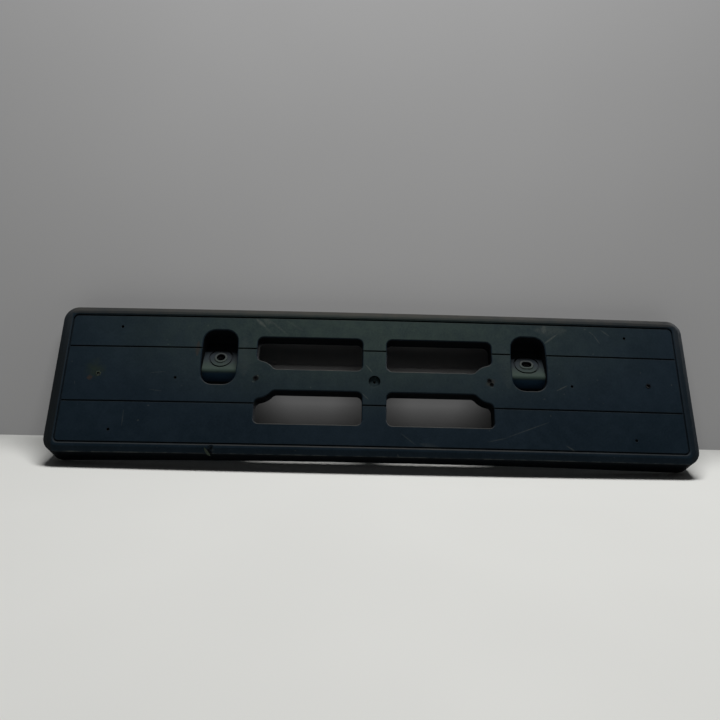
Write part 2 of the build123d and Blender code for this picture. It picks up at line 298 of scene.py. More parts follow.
# Painted shade in the studio's own frame: on the floor by the wall, and a painted shadow on the wall to the
# sides and by height
FLOOR_SHADE_DEPTH = (-0.07, 0.02)
WALL_SHADE_ASIDE = (0.125, 0.2)
WALL_SHADE_RISE = (0.042, 0.05)
WALL_SHADE_TOP = (0.058, 0.076)
WALL_SHADE_COVER = (0.52, 1.0)
# Lamps in the studio's own frame: place, target and size
KEY_LAMP = ((0.12, -0.04, 1.6), (0.12, -0.04, 0.0), (0.9, 0.35))
WALL_LAMP = ((0.0, -0.75, 0.95), (0.0, 0.0, 0.1), (0.8, 0.4))
REAR_LAMP = ((0.75, 0.75, 0.3), (0.0, 0.0, 0.05), (0.8, 0.6))
FILL_COLOUR = (0.9, 0.95, 1.0)
FILL_HEIGHT = (0.2, 1.0)
BLACK = (0.0, 0.0, 0.0)
CAMERA_SENSOR = 36.0
CAMERA_CLIP = 0.01


class Socket:
    """One output of a node tree. Arithmetic on it adds Math nodes, or Vector Math nodes for vectors."""

    def __init__(self, tree, output=None):
        self.tree = tree
        self.output = output

    def node(self, kind, settings=None, inputs=None, output=0):
        """Adds any other node: its settings first, then the values or links of its inputs."""
        made = self.tree.nodes.new(kind)
        for name, value in (settings or {}).items():
            setattr(made, name, value)
        for name, value in (inputs or {}).items():
            if isinstance(value, Socket):
                self.tree.links.new(value.output, made.inputs[name])
            else:
                made.inputs[name].default_value = value
        return Socket(self.tree, made.outputs[output])

    def maths(self, operation, first, second):
        """A Math node, or a Vector Math node where this socket is a vector."""
        vector = self.output.type == "VECTOR"
        kind = "ShaderNodeVectorMath" if vector else "ShaderNodeMath"
        pair = {}
        for index, value in enumerate((first, second)):
            plain = vector and isinstance(value, (int, float))
            pair[index] = (value, value, value) if plain else value
        return self.node(kind, {"operation": operation}, pair)

    def __add__(self, other):
        return self.maths("ADD", self, other)

    __radd__ = __add__

    def __sub__(self, other):
        return self.maths("SUBTRACT", self, other)

    def __rsub__(self, other):
        return self.maths("SUBTRACT", other, self)

    def __mul__(self, other):
        return self.maths("MULTIPLY", self, other)

    __rmul__ = __mul__

    def __truediv__(self, other):
        return self.maths("DIVIDE", self, other)

    def __rtruediv__(self, other):
        return self.maths("DIVIDE", other, self)

    def most(self, other):
        """The larger of two values."""
        return self.maths("MAXIMUM", self, other)

    def least(self, other):
        """The smaller of two values."""
        return self.maths("MINIMUM", self, other)

    def magnitude(self):
        """A value without its sign."""
        return self.most(0.0 - self)

    def axis(self, index):
        """One coordinate of a vector."""
        return self.node("ShaderNodeSeparateXYZ", inputs={0: self}, output=index)

    def dot(self, other):
        """How far a vector goes along another."""
        settings = {"operation": "DOT_PRODUCT"}
        return self.node("ShaderNodeVectorMath", settings, {0: self, 1: other}, output=1)

    def length(self):
        """A vector's length."""
        return self.node("ShaderNodeVectorMath", {"operation": "LENGTH"}, {0: self}, output=1)

    def ramp(self, low, high):
        """0 below `low` and 1 above `high`, smooth between them."""
        settings = {"interpolation_type": "SMOOTHSTEP"}
        return self.node("ShaderNodeMapRange", settings, {0: self, 1: low, 2: high})

    def fade(self, low, high):
        """1 below `low` and 0 above `high`, smooth between them."""
        return 1.0 - self.ramp(low, high)

    def between(self, off, on):
        """A value that goes from `off` to `on` with this mask."""
        return off + self * (on - off)

    def tint(self, plain, covered):
        """A colour that goes from `plain` to `covered` with this value."""
        settings = {"data_type": "RGBA"}
        return self.node("ShaderNodeMix", settings, {0: self, 6: plain, 7: covered}, output=2)

    def speckle(self, size, detail=2.0, roughness=0.5):
        """Noise over a place, with features of about `size` in the place's own unit."""
        inputs = {"Vector": self, "Scale": 1 / size, "Detail": detail, "Roughness": roughness}
        return self.node("ShaderNodeTexNoise", inputs=inputs)

    def mottle(self, size, detail, roughness, shown):
        """A mask made of noise over a place, which fades between two of the noise's values."""
        return self.speckle(size, detail, roughness).ramp(*shown)


def opaque(colour):
    """A property's colour with full alpha."""
    return (*colour, 1.0)


def seat_depth(x):
    """How far the bowed seat lies behind the origin at x."""
    return SEAT_RADIUS - sqrt(SEAT_RADIUS**2 - x**2)


def new_material(name):
    """An empty material, its starting socket and its output node."""
    material = bpy.data.materials.new(name)
    material.use_nodes = True
    material.node_tree.nodes.clear()
    output = material.node_tree.nodes.new("ShaderNodeOutputMaterial")
    return material, Socket(material.node_tree), output


def put_on(obj, material):
    """Makes a material the only one of an object."""
    obj.data.materials.clear()
    obj.data.materials.append(material)


def stroke_mask(place, x0, z0, x1, z1, width):
    """A tapering stroke across the front, from one end to the other, in millimetres."""
    along = Vector((x1 - x0, 0, z1 - z0))
    from_end = place - (x0, 0, z0)
    share = from_end.dot(tuple(along / along.length_squared)).most(0.0).least(1.0)
    nearest = place.node("ShaderNodeVectorMath", {"operation": "SCALE"}, {0: tuple(along), 3: share})
    away = (from_end - nearest).length()
    taper = 1.0 - (share - 0.5) * (share - 0.5) * STROKE_TAPER
    return away.fade(0.0, taper * width)


def within(across, high, middle, half):
    """1 inside a box of the front view."""
    aside = (across - middle[0]).magnitude() - half[0]
    above = (high - middle[1]).magnitude() - half[1]
    return aside.most(above).fade(-BOX_BLUR, BOX_BLUR)


def screw_lip_mask(place, middle, travel, radius):
    """A ring round a screw hole, in the plane of its sloping seat."""
    outward = (0.0, -cos(SCREW_SLOPE), sin(SCREW_SLOPE))
    uphill = (0.0, sin(SCREW_SLOPE), cos(SCREW_SLOPE))
    from_middle = place - middle
    sideways = (from_middle.axis(0).magnitude() - travel).most(0.0)
    upwards = from_middle.dot(uphill)
    away = place.node("ShaderNodeCombineXYZ", inputs={0: sideways, 1: upwards}).length()
    near = from_middle.dot(outward).magnitude()
    return (away - radius).magnitude().fade(*LIP_RING) * near.fade(*LIP_NEAR)


class MouldingFace:
    """What the layers of the moulding's finish share: places in millimetres, directions and patterns."""

    def __init__(self, start, look):
        self.start = start
        self.place = start.node("ShaderNodeTexCoord", output="Object") * (1 / MM)
        self.flat_place = self.place * (1.0, 0.0, 1.0)
        self.across = self.place.axis(0)
        self.aside = self.across.magnitude()
        self.depth = self.place.axis(1)
        self.high = self.place.axis(2)
        self.normal = start.node("ShaderNodeNewGeometry", output="Normal")
        self.rounded = start.node("ShaderNodeBevel", {"samples": EDGE_SAMPLES}, {"Radius": look.edge_reach})
        self.find_regions()
        self.grain = self.place.speckle(look.grain_size / MM)
        self.blotches = self.place.mottle(*BLOTCHES)
        self.patches = self.place.mottle(*PATCHES)
        self.mottles = self.place.mottle(*MOTTLES)

    def find_regions(self):
        """The front, the rim, its ends, the pockets, their ledges, and the walls of pockets and windows."""
        forward = 0.0 - self.normal.axis(1)
        self.shallow = self.depth.fade(*FRONT_DEPTH)
        self.front = forward.ramp(*FRONT_FACING) * self.shallow
        past_end = self.aside - SEAT_LENGTH / 2 / MM
        self.past_side = self.high.magnitude() - SEAT_HEIGHT / 2 / MM
        self.rim = past_end.most(self.past_side).ramp(*RIM_START)
        self.rim_ends = past_end.ramp(*RIM_START)
        self.pocket = within(self.aside, self.high, *POCKET_BOX) * self.depth.ramp(*POCKET_DEPTH)
        self.ledge = self.high.ramp(*LEDGE_HEIGHT)
        window = within(self.aside, self.high.magnitude(), *WINDOW_BOX)
        self.walls = self.pocket.most(window) * forward.magnitude().fade(*WALL_FACING)

    def spot(self, x, z, reach, fray, edge):
        """A frayed spot on the front."""
        size, detail, share = fray
        away = (self.flat_place - (x, 0.0, z)).length() + self.place.speckle(size, detail) * (reach * share)
        return away.fade(edge[0] * reach, edge[1] * reach)


def bare_colour(face, look):
    """Charcoal plastic with slow and fine changes of shade, and painted shade that makes it darkest low
    down.
    """
    shade = (
        face.place.mottle(*CLOUDS) * CLOUD_SHADE
        + face.blotches * BLOTCH_SHADE
        + face.mottles * MOTTLE_SHADE
        + face.high.ramp(*PAINTED_LIGHT_HEIGHT) * PAINTED_HEIGHT_SHADE
        - SHADE_LESS
    )
    return shade.tint(opaque(look.deep), opaque(look.charcoal))


def film_and_sheen_mask(face):
    """A dry film with a painted sheen over the upper middle of the seat, thinner towards its ends and its
    lower edge.
    """
    away = ((face.flat_place - FILM_SHEEN_MIDDLE) / FILM_SHEEN_REACH).length()
    cover = FILM_SHEEN_EVEN + face.patches * FILM_SHEEN_PATCHY + face.mottles * FILM_SHEEN_MOTTLED
    return away.fade(0.0, 1.0) * cover * face.front


def weather_and_light_mask(face):
    """The weathered rim, with painted light from above: least along the bottom and low on its ends."""
    sides = face.high.ramp(*SIDE_WEATHER_LIGHT_HEIGHT) * (1.0 - face.rim_ends)
    ends = face.high.ramp(*END_WEATHER_LIGHT_HEIGHT) * face.rim_ends * END_WEATHER_COVER
    return face.rim * (sides + ends)


def painted_end_shade_mask(face):
    """Painted shade on the rim's ends, most on the left one and darker low down."""
    left_to_right = face.across.ramp(*END_SHADE_SIDES).between(*END_SHADE_COVER)
    return face.rim_ends * face.high.fade(*END_SHADE_HEIGHT) * left_to_right


def dust_and_light_mask(face):
    """Dust and painted light on what faces up, most in the middle."""
    upward = face.normal.dot(DUST_LIGHT_WAY).ramp(*DUST_LIGHT_FACING)
    return upward * face.patches.between(*DUST_LIGHT_COVER) * face.aside.ramp(*DUST_LIGHT_ASIDE).between(*DUST_LIGHT_SPREAD)


def scuff_mask(face):
    """Scratches and scuffs on the seat, broken up by its grain."""
    strokes = [stroke_mask(face.flat_place, *line) * strength for *line, strength in SCRATCHES]
    breaks = face.place.mottle(*SCUFF_BREAKS).between(*SCUFF_COVER)
    return reduce(Socket.most, strokes) * face.front * breaks


def rubbed_and_highlight_mask(face, look):
    """Rubbed screw lips; edges rubbed lighter, with a painted highlight; and a painted reflection along the
    brink of the lower rim.
    """
    edges = (1.0 - face.rounded.dot(face.normal)).ramp(*EDGE_TURN) * face.blotches.between(*EDGE_COVER)
    lips = reduce(Socket.most, [screw_lip_mask(face.place, *lip) for lip in SCREW_LIPS])
    from_brink = (face.past_side - (RIM_CREST + BEVEL_WIDTH) / MM).magnitude()
    brink = from_brink.fade(*BRINK_WIDTH) * (0.0 - face.high).ramp(*BELOW_MIDDLE) * face.blotches
    return (edges * look.edge_wear_and_highlight).most(lips * look.lip_wear).most(brink * BRINK_COVER)


def painted_shade_and_mark_mask(face, look):
    """Painted shade in what is narrow or sunk, on what faces down and on the walls of pockets and windows,
    less by the bore; and darker spots round drilled holes and dark marks in the nick.
    """
    air = face.start.node(
        "ShaderNodeAmbientOcclusion",
        {"samples": CREVICE_SAMPLES, "only_local": True},
        {"Distance": look.crevice_reach},
        output="AO",
    )
    under = face.normal.dot(UNDER_WAY).ramp(*UNDER_FACING)
    sunk = face.pocket * (face.depth - face.ledge * LEDGE_STEP).ramp(*SUNK_DEPTH)
    bore = face.flat_place.length().fade(*BORE_RADIUS)
    painted_shade = air.fade(*CREVICE_AIR).most(under).most(face.walls.most(sunk)) * bore.between(*BORE_SHADE)
    dark_spots = [face.spot(*bruise, DARK_SPOT_FRAY, DARK_SPOT_EDGE) for bruise in HOLE_DARK_SPOTS]
    gouges = [stroke_mask(face.flat_place, *gouge) for gouge in GOUGES]
    return painted_shade.most(reduce(Socket.most, dark_spots + gouges) * face.shallow)


def end_in_plastic(start, output, look, colour, roughness, relief):
    """Ends a material's nodes in a plastic shader."""
    plastic = start.node("ShaderNodeBsdfPrincipled", inputs={
        "Base Color": colour,
        "Roughness": roughness,
        "Specular IOR Level": look.gloss,
        "Normal": relief,
    })
    start.tree.links.new(plastic.output, output.inputs["Surface"])


def moulding_material(look):
    """Fine-grained black plastic with dust and painted light on top, dirt by the torn holes, scuffs and worn
    edges with painted highlights, and painted shade.
    """
    material, start, output = new_material("moulded_plastic")
    face = MouldingFace(start, look)
    weather_and_light = weather_and_light_mask(face)
    dust_and_light = dust_and_light_mask(face)
    stains = [face.spot(*stain, STAIN_FRAY, STAIN_EDGE) * face.front * STAIN_COVER for stain in STAINS]
    rust = [stroke_mask(face.flat_place, *line) * strength * face.front for *line, strength in RUST]
    scuffs = scuff_mask(face)
    specks = face.place.mottle(*SPECKS) * face.patches * SPECK_COVER
    # Painted light on the lit ledge in each pocket
    painted_ledge_light = face.pocket * face.ledge * face.depth.fade(*LEDGE_LIGHT_DEPTH) * LEDGE_LIGHT_COVER

    # What covers what, from the bare plastic upwards
    layers = (
        (film_and_sheen_mask(face) * look.film_and_sheen_cover, look.film_and_light),
        (weather_and_light * face.patches.between(*WEATHER_COVER) * look.weathering, look.weathered),
        (painted_end_shade_mask(face), look.painted_end_shade),
        (dust_and_light * look.dust_and_light_cover, look.dust_and_light),
        *((stain, look.dirt) for stain in stains),
        *((run, look.rust) for run in rust),
        (scuffs.most(specks), look.scuff_and_highlight),
        # Rubbed wear, painted highlights on edges and a painted reflection along the brink
        (rubbed_and_highlight_mask(face, look), look.scuff_and_highlight),
        # Painted light on the pockets' ledges
        (painted_ledge_light, look.film_and_light),
        # Painted light on the faces low in the pockets, below their ledges
        (face.pocket * (1.0 - face.ledge) * POCKET_LIGHT_COVER, look.clean),
        # Painted shade, and darker spots and marks
        (painted_shade_and_mark_mask(face, look), look.painted_shade_and_marks),
    )
    colour = bare_colour(face, look)
    for mask, covered in layers:
        colour = mask.tint(colour, opaque(covered))

    roughness = (
        BARE_ROUGHNESS
        + face.blotches * BLOTCH_ROUGHNESS
        + dust_and_light * DUST_ROUGHNESS
        + weather_and_light * WEATHER_ROUGHNESS
        + scuffs * SCUFF_ROUGHNESS
        + face.grain * GRAIN_ROUGHNESS
        + face.walls * WALL_ROUGHNESS
    )
    rim_grain = face.place.speckle(RIM_GRAIN) * face.rim
    height = face.grain + face.blotches * BLOTCH_RELIEF + rim_grain * RIM_RELIEF
    relief = start.node("ShaderNodeBump", inputs={
        "Height": height,
        "Distance": look.grain_height,
        "Normal": face.rounded,
    })
    end_in_plastic(start, output, look, colour, roughness, relief)
    return material


def torn_material(look):
    """Plastic gone pale where it tore, with dirt in it. It is made once and shared."""
    made = bpy.data.materials.get("torn_plastic")
    if made:
        return made
    material, start, output = new_material("torn_plastic")
    place = start.node("ShaderNodeTexCoord", output="Object") * (1 / MM)
    patches = place.mottle(*TORN_PATCHES)
    colour = patches.tint(opaque(look.dirt), opaque(look.torn))
    relief = start.node("ShaderNodeBump", inputs={
        "Height": place.speckle(TORN_FIBRE),
        "Distance": look.grain_height * TORN_RELIEF,
    })
    end_in_plastic(start, output, look, colour, patches.between(*TORN_ROUGHNESS), relief)
    return material


def smooth_form(limit):
    """Geometry nodes that join the moulding's facets and shade them smooth up to an angle."""
    group = bpy.data.node_groups.new("smooth_form", "GeometryNodeTree")
    group.interface.new_socket("Geometry", in_out="INPUT", socket_type="NodeSocketGeometry")
    group.interface.new_socket("Geometry", in_out="OUTPUT", socket_type="NodeSocketGeometry")
    given = Socket(group).node("NodeGroupInput")
    joined = given.node("GeometryNodeMergeByDistance", inputs={"Geometry": given, "Distance": JOIN_REACH})
    smooth = given.node("GeometryNodeSetShadeSmooth", inputs={"Geometry": joined, "Shade Smooth": True})
    angle = given.node("GeometryNodeInputMeshEdgeAngle")
    sharp = given.node("FunctionNodeCompare", {"operation": "GREATER_THAN"}, {0: angle, 1: limit})
    creased = given.node(
        "GeometryNodeSetShadeSmooth",
        {"domain": "EDGE"},
        {"Geometry": smooth, "Selection": sharp, "Shade Smooth": False},
    )
    group.links.new(creased.output, group.nodes.new("NodeGroupOutput").inputs[0])
    return group


def closed_tube(name, sections, joined_ends):
    """A mesh through cross-sections with equal points, its ends joined to each other or filled."""
    form = bmesh.new()
    rows = [[form.verts.new(point) for point in section] for section in sections]
    pairs = list(zip(rows, rows[1:]))
    if joined_ends:
        pairs.append((rows[-1], rows[0]))
    else:
        form.faces.new(rows[0])
        form.faces.new(reversed(rows[-1]))
    for here, there in pairs:
        for index in range(len(here)):
            after = (index + 1) % len(here)
            form.faces.new((here[index], there[index], there[after], here[after]))
    bmesh.ops.recalc_face_normals(form, faces=form.faces)
    mesh = bpy.data.meshes.new(name)
    form.to_mesh(mesh)
    form.free()
    obj = bpy.data.objects.new(name, mesh)
    bpy.context.scene.collection.objects.link(obj)
    obj.data.shade_smooth()
    return obj


def uneven(outward, unevenness, *seed):
    """A value to either side of 0 that changes smoothly round a hole."""
    amount, pace = unevenness
    return amount * noise.noise(outward * pace + Vector(seed))


def torn_lip(name, x, z, height, seed, wear):
    """A ragged ring of plastic raised round a drilled hole."""
    middle = Vector((x, seat_depth(x), z))
    back = Vector((0, 1, 0))
    root = wear.lip_root
    width = wear.lip_width * (LIP_NARROW + (1 - LIP_NARROW) * height)
    sections = []
    for step in range(LIP_STEPS):
        turn = tau * step / LIP_STEPS
        outward = Vector((cos(turn), 0, sin(turn)))
        rise = LIP_RISE + uneven(outward, LIP_WAVES, seed, 0, 0) + uneven(outward, LIP_TEETH, 0, seed, 0)
        rise = max(rise, LIP_LEAST_RISE) * height * wear.lip_height
        inner = DRILLED_RADIUS * (1 - height * (LIP_INWARD - uneven(outward, LIP_FRAY, 0, 0, seed)))
        peak = inner + width * (LIP_PEAK + uneven(outward, LIP_SWAY, seed, seed, 0))
        foot = inner + width
        profile = (
            (DRILLED_RADIUS + root, LIP_ROOT_DEPTH * root),
            (inner, LIP_ROOT_DEPTH * root),
            (inner, -LIP_CORNER_RISE * rise),
            (peak, -rise),
            (peak + LIP_SHOULDER * (foot - peak), -LIP_SHOULDER_RISE * rise),
            (foot, LIP_FOOT_DEPTH * root),
        )
        sections.append([middle + outward * radius + back * depth for radius, depth in profile])
    return closed_tube(name, sections, joined_ends=True)


def nick_burr(wear):
    """A ragged ridge pushed up along the left edge of the nick."""
    depth = BEVEL_MIDDLE_DEPTH + seat_depth(NICK_X)
    middle = Vector((NICK_X, depth, -SEAT_HEIGHT / 2 - RIM_CREST - BEVEL_WIDTH / 2))
    outward = Vector((0, -cos(BEVEL_ANGLE), -sin(BEVEL_ANGLE)))
    across = Matrix.Rotation(NICK_TURN, 3, outward) @ Vector((1, 0, 0))
    along = outward.cross(across)
    edge = middle - across * NICK_EDGE
    sections = []
    for step in range(BURR_STEPS):
        share = step / (BURR_STEPS - 1)
        swell = BURR_END + (1 - BURR_END) * sin(share * tau / 2)
        ragged = BURR_RISE + BURR_UNEVEN * noise.noise(Vector((share * BURR_WAVES, *BURR_SEED)))
        rise = outward * wear.burr_height * swell * ragged
        width = across * wear.burr_width * swell
        foot = edge + along * NICK_LENGTH * (share - 0.5) * wear.burr_share
        sections.append([foot + width * sideways + rise * lift for sideways, lift in BURR_SECTION])
    return closed_tube("nick_burr", sections, joined_ends=False)


class MouldingLook(bpy.types.PropertyGroup):
    """Colours and grain of the moulding"""

    charcoal: FloatVectorProperty(
        name="Charcoal", description="Colour of the bare plastic",
        subtype="COLOR", default=(0.0105, 0.0195, 0.029),
    )
    # Also the colour of the painted shade low on the plastic
    deep: FloatVectorProperty(
        name="Deep", description="Colour where the plastic is darkest",
        subtype="COLOR", default=(0.0034, 0.009, 0.0146),
    )
    # Also the colour of the painted sheen on the seat and of the painted light on the pockets' ledges
    film_and_light: FloatVectorProperty(
        name="Film", description="Colour of the dry film on the seat",
        subtype="COLOR", default=(0.053, 0.078, 0.06),
    )
    # How much the film and its painted sheen hide
    film_and_sheen_cover: FloatProperty(
        name="Film cover", description="How much the film hides",
        subtype="FACTOR", min=0, max=1, default=0.49,
    )
    weathered: FloatVectorProperty(
        name="Weathered", description="Colour of the weathered rim",
        subtype="COLOR", default=(0.036, 0.034, 0.031),
    )
    weathering: FloatProperty(
        name="Weathering", description="How weathered the rim is",
        subtype="FACTOR", min=0, max=1, default=0.7,
    )
    # Painted shade on the rim's ends
    painted_end_shade: FloatVectorProperty(
        name="Soot", description="Colour of the rim's darker ends",
        subtype="COLOR", default=(0.0072, 0.0086, 0.009),
    )
    # Also the colour of painted light on what faces up
    dust_and_light: FloatVectorProperty(
        name="Dust", description="Colour of settled dust",
        subtype="COLOR", default=(0.072, 0.067, 0.058),
    )
    # How much the dust and its painted light hide
    dust_and_light_cover: FloatProperty(
        name="Dustiness", description="How much the dust hides",
        subtype="FACTOR", min=0, max=1, default=0.5,
    )
    dirt: FloatVectorProperty(
        name="Dirt", description="Colour of dirt round the torn holes",
        subtype="COLOR", default=(0.018, 0.026, 0.014),
    )
    rust: FloatVectorProperty(
        name="Rust", description="Colour of rust that ran on the seat",
        subtype="COLOR", default=(0.05, 0.028, 0.016),
    )
    # Also the colour of painted highlights on edges and of the painted reflection along the lower brink
    scuff_and_highlight: FloatVectorProperty(
        name="Scuff", description="Colour of scuffs and rubbed edges",
        subtype="COLOR", default=(0.095, 0.104, 0.094),
    )
    torn: FloatVectorProperty(
        name="Torn", description="Colour of plastic gone pale where it tore",
        subtype="COLOR", default=(0.05, 0.062, 0.052),
    )
    # How pale the edges are rubbed and painted with a highlight
    edge_wear_and_highlight: FloatProperty(
        name="Edge wear", description="How pale the edges are rubbed",
        subtype="FACTOR", min=0, max=1, default=0.4,
    )
    edge_reach: FloatProperty(
        name="Edge reach", description="How far edges are rounded and rubbed",
        unit="LENGTH", default=0.5 * MM,
    )
    lip_wear: FloatProperty(
        name="Lip wear", description="How pale the screw lips are rubbed",
        subtype="FACTOR", min=0, max=1, default=0.36,
    )
    # Painted light on the faces low in the pockets
    clean: FloatVectorProperty(
        name="Clean", description="Colour of the clean faces low in the pockets",
        subtype="COLOR", default=(0.011, 0.036, 0.068),
    )
    # Colour of the painted shade, and of darker spots round holes and marks in the nick
    painted_shade_and_marks: FloatVectorProperty(
        name="Grime", description="Colour in crevices and under edges",
        subtype="COLOR", default=(0.0012, 0.002, 0.003),
    )
    # How wide painted shade reaches into crevices
    crevice_reach: FloatProperty(
        name="Crevice reach", description="How wide a crevice holds grime",
        unit="LENGTH", default=2.2 * MM,
    )
    gloss: FloatProperty(
        name="Gloss", description="Strength of reflections",
        subtype="FACTOR", min=0, max=1, default=0.06,
    )
    grain_size: FloatProperty(
        name="Grain size", description="Size of the mould's grain",
        unit="LENGTH", default=0.45 * MM,
    )
    grain_height: FloatProperty(
        name="Grain height", description="Height of the mould's grain",
        unit="LENGTH", default=0.05 * MM,
    )
    smooth_angle: FloatProperty(
        name="Smooth angle", description="Largest angle shaded smooth",
        subtype="ANGLE", default=radians(24),
    )


class WearSizes(bpy.types.PropertyGroup):
    """Sizes of torn plastic"""

    lip_width: FloatProperty(
        name="Lip width", description="Width of the tallest torn lip round a hole",
        unit="LENGTH", default=1.1 * MM,
    )
    lip_height: FloatProperty(
        name="Lip height", description="Height of the tallest torn lip",
        unit="LENGTH", default=0.7 * MM,
    )
    lip_root: FloatProperty(
        name="Lip root", description="How far a lip reaches into the plastic round its hole",
        unit="LENGTH", default=0.25 * MM,
    )
    burr_width: FloatProperty(
        name="Burr width", description="Width of the burr along the nick",
        unit="LENGTH", default=2.0 * MM,
    )
    burr_height: FloatProperty(
        name="Burr height", description="Height of the burr along the nick",
        unit="LENGTH", default=0.5 * MM,
    )
    burr_share: FloatProperty(
        name="Burr share", description="Share of the nick that has a burr",
        subtype="FACTOR", min=0, max=1, default=0.8,
    )


class StageLayout(bpy.types.PropertyGroup):
    """Studio, camera and light"""

    lean: FloatProperty(
        name="Lean", description="How far the holder leans back in the studio",
        subtype="ANGLE", default=radians(31.4),
    )
    eye: FloatVectorProperty(
        name="Eye", description="Place of the camera",
        subtype="TRANSLATION", default=(-0.02253, -0.57194, -0.20084),
    )
    turn: FloatVectorProperty(
        name="Turn", description="Turn of the camera",
        subtype="EULER", default=(radians(111.028), radians(-0.9215), radians(-1.3566)),
    )
    lens: FloatProperty(name="Lens", description="Focal length in millimetres", default=36.05)
    reach: FloatProperty(
        name="Reach", description="How far the floor and wall go before they fade",
        unit="LENGTH", default=0.62,
    )
    floor: FloatVectorProperty(
        name="Floor", description="Colour of the floor",
        subtype="COLOR", default=(0.76, 0.76, 0.73),
    )
    wall: FloatVectorProperty(
        name="Wall", description="Colour of the wall",
        subtype="COLOR", default=(0.18, 0.18, 0.18),
    )
    sky: FloatVectorProperty(
        name="Surroundings", description="Colour far behind the studio",
        subtype="COLOR", default=(0.38, 0.38, 0.38),
    )
    fill: FloatProperty(name="Fill", description="Strength of the light from above", default=0.06)
    key_power: FloatProperty(
        name="Key power", description="Power of the lamp overhead",
        unit="POWER", default=25.0,
    )
    wall_power: FloatProperty(
        name="Wall power", description="Power of the wall's lamp",
        unit="POWER", default=21.0,
    )
    rear_power: FloatProperty(
        name="Rear power", description="Power of the lamp behind",
        unit="POWER", default=18.0,
    )


def sheet(name, corners, matrix):
    """A flat quad of the studio."""
    mesh = bpy.data.meshes.new(name)
    mesh.from_pydata(corners, [], [(0, 1, 2, 3)])
    obj = bpy.data.objects.new(name, mesh)
    obj.matrix_world = matrix
    bpy.context.scene.collection.objects.link(obj)
    return obj


def seen_rays(start):
    """1 for the rays that show the background: straight to the eye, mirrored or through glass."""
    return reduce(Socket.most, [start.node("ShaderNodeLightPath", output=name) for name in SEEN_RAYS])


def painted_shade_by_wall(place):
    """Painted shade: 1 on the floor at the wall's foot."""
    return place.axis(1).ramp(*FLOOR_SHADE_DEPTH)


def painted_shadow_behind_holder(place):
    """Painted shadow: 1 low on the wall behind the holder, less where its lower windows show the wall."""
    high = place.axis(2)
    low = high.ramp(*WALL_SHADE_RISE).between(*WALL_SHADE_COVER) * high.fade(*WALL_SHADE_TOP)
    return place.axis(0).magnitude().fade(*WALL_SHADE_ASIDE) * low


def studio_material(name, colour, reach, seen_only, shaded, dim):
    """Matte paper, dimmed where painted shade lies, and clear from behind and past its reach.

    Paper that is `seen_only` stops no light.
    """
    material, start, output = new_material(name)
    place = start.node("ShaderNodeTexCoord", output="Object")
    behind = start.node("ShaderNodeNewGeometry", output="Backfacing")
    shown = place.length().fade(reach, PAPER_FADE * reach) * (1.0 - behind)
    if seen_only:
        shown = shown * seen_rays(start)
    shade = tuple(PAPER_SHADE * value for value in colour)
    dimmed = tuple(dim * value for value in colour)
    toned = place.mottle(*PAPER_TONE).tint(opaque(shade), opaque(colour))
    paper = start.node("ShaderNodeBsdfPrincipled", inputs={
        "Base Color": shaded(place).tint(toned, opaque(dimmed)),
        "Roughness": PAPER_ROUGHNESS,
        "Specular IOR Level": PAPER_GLOSS,
    })
    clear = start.node("ShaderNodeBsdfTransparent")
    mixed = start.node("ShaderNodeMixShader", inputs={0: shown, 1: clear, 2: paper})
    start.tree.links.new(mixed.output, output.inputs["Surface"])
    return material


def room_matrix(stage):
    """The studio's frame: floor under the holder's lowest points, wall behind its furthest ones."""
    up = Vector((0, -sin(stage.lean), cos(stage.lean)))
    back = Vector((0, cos(stage.lean), sin(stage.lean)))
    points = [vertex.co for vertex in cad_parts[NODE].data.vertices]
    origin = up * min(point.dot(up) for point in points) + back * max(point.dot(back) for point in points)
    room = Matrix((Vector((1, 0, 0)), back, up)).transposed().to_4x4()
    room.translation = origin
    return room


def lay_paper(stage, room):
    """The studio's floor and wall, which meet behind the holder."""
    reach = stage.reach
    wide = PAPER_END * reach
    floor = sheet("floor", [(-wide, -wide, 0), (wide, -wide, 0), (wide, 0, 0), (-wide, 0, 0)], room)
    wall = sheet("wall", [(-wide, 0, 0), (wide, 0, 0), (wide, 0, wide), (-wide, 0, wide)], room)
    put_on(floor, studio_material("studio_floor", stage.floor, reach, False, painted_shade_by_wall, FLOOR_DIM))
    put_on(wall, studio_material("studio_wall", stage.wall, reach, True, painted_shadow_behind_holder, WALL_DIM))
    return floor, wall


def area_lamp(name, room, place, target, size, power, lit):
    """A soft lamp of the studio, aimed at a point of it, that lights only some objects."""
    lamp = bpy.data.lights.new(name, "AREA")
    lamp.shape = "RECTANGLE"
    lamp.size, lamp.size_y = size
    lamp.energy = power
    obj = bpy.data.objects.new(name, lamp)
    aim = (Vector(target) - Vector(place)).to_track_quat("-Z", "Y").to_matrix().to_4x4()
    obj.matrix_world = room @ Matrix.Translation(place) @ aim
    bpy.context.scene.collection.objects.link(obj)
    receivers = bpy.data.collections.new(f"lit_by_{name}")
    for receiver in lit:
        receivers.objects.link(receiver)
    obj.light_linking.receiver_collection = receivers


def hang_lamps(stage, room, floor, wall):
    """A lamp overhead, one for the wall alone and one behind for the holder alone."""
    meshes = [obj for obj in bpy.context.scene.objects if obj.type == "MESH"]
    pieces = [obj for obj in meshes if obj not in (floor, wall)]
    area_lamp("key", room, *KEY_LAMP, stage.key_power, [floor, *pieces])
    area_lamp("wall_lamp", room, *WALL_LAMP, stage.wall_power, [wall])
    area_lamp("rear_lamp", room, *REAR_LAMP, stage.rear_power, pieces)


def background(start, colour, strength):
    """An even light from all round."""
    return start.node("ShaderNodeBackground", inputs={"Color": opaque(colour), "Strength": strength})


